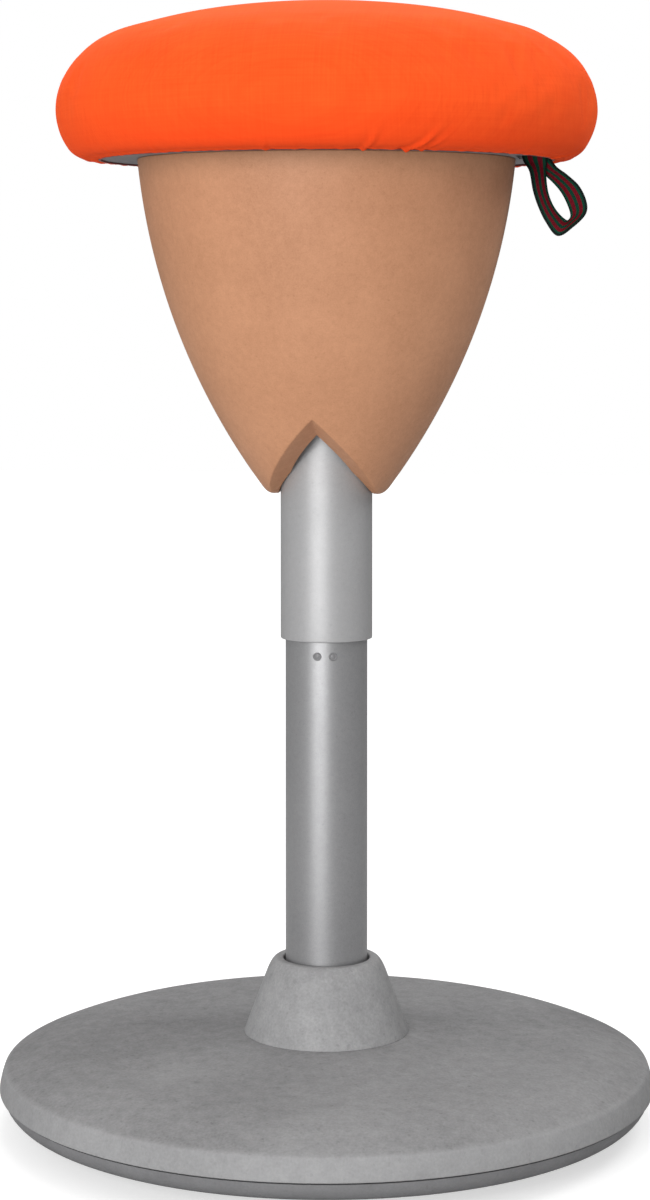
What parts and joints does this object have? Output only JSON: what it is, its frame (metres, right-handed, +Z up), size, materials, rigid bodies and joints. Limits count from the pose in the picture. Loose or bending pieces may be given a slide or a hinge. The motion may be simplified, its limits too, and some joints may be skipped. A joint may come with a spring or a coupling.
{
  "type": "wobble stool",
  "caption": "Wobble stool: round padded seat on a tapered notched body and gas-lift column, swivelling and adjustable in height, on a domed rocking disc base with a webbing pull loop.",
  "frame": {"origin": "Middle of the flat underside of the rocking sole, on the floor, on the stool's centre line.", "axes": "+Z up along the column. +X towards the webbing pull loop. The body's two notches face -Y and +Y."},
  "size_m": [0.3992, 0.3992, 0.6828],
  "materials": {
    "sole_rubber": "matt grey moulded rubber",
    "zinc_steel": "zinc plated steel",
    "plate_steel": "dark painted steel plate",
    "grey_plastic": "matt grey moulded plastic with a fine grain",
    "grey_steel": "satin grey powder coat",
    "bush_plastic": "dark low-friction plastic",
    "bearing_steel": "bright steel",
    "rod_chrome": "polished chrome",
    "bump_rubber": "black rubber",
    "black_steel": "black painted steel",
    "webbing": "woven tape, dark green with lengthwise burgundy stripes",
    "board_wood": "plain plywood",
    "body_brown": "matt tan-brown moulded shell",
    "foam": "seat foam",
    "orange_cloth": "smooth orange upholstery cloth",
    "red_binding": "dark red edge binding"
  },
  "bodies": {
    "base": {"rocker_sole": "sole_rubber", "sole_screws": "zinc_steel", "ballast_plate": "plate_steel", "base_cover": "grey_plastic", "cover_screws": "zinc_steel", "column_socket": "plate_steel", "socket_bolts": "zinc_steel", "base_collar": "grey_plastic", "stand_tube": "grey_steel", "tube_rivets": "grey_steel", "guide_bush": "bush_plastic", "column_floor": "plate_steel", "thrust_bearing": "bearing_steel"},
    "rod": {"piston_rod": "rod_chrome", "bearing_washer": "bearing_steel", "rod_clip": "bearing_steel", "bump_stop": "bump_rubber", "piston": "bearing_steel"},
    "lift": {"gas_cylinder": "black_steel", "cylinder_gland": "bearing_steel", "taper_hub": "plate_steel", "cover_tube": "grey_steel", "glide_ring": "bush_plastic", "mounting_plate": "plate_steel", "mount_screws": "zinc_steel", "lever_bracket": "plate_steel", "lever_pin": "zinc_steel", "under_plate": "grey_plastic", "seat_board": "board_wood", "body_cone": "body_brown", "body_studs": "zinc_steel", "seat_foam": "foam", "seat_cover": "orange_cloth", "cover_binding": "red_binding"},
    "lever": {"release_lever": "black_steel", "pull_loop": "webbing", "loop_rivet": "zinc_steel"},
    "button": {"valve_button": "zinc_steel"}
  },
  "joints": [
    {"name": "swivel", "type": "hinge", "parent": "base", "child": "rod", "pos_m": [0, 0, 0.043], "axis": [0, 0, 1], "continuous": true},
    {"name": "height_slide", "type": "slide", "parent": "rod", "child": "lift", "axis": [0, 0, 1], "range_m": [-0.19, 0]},
    {"name": "release_lever", "type": "hinge", "parent": "lift", "child": "lever", "pos_m": [-0.05, 0, 0.6003], "axis": [0, 1, 0], "range_deg": [0, 2.2], "stiffness_Nm_per_rad": 8, "springref_deg": -9.74},
    {"name": "valve_press", "type": "slide", "parent": "lift", "child": "button", "axis": [0, 0, -1], "range_m": [0, 0.002]}
  ],
  "couplings": [
    {"joint": "valve_press", "follows": "release_lever", "m_per_rad": 0.05}
  ]
}
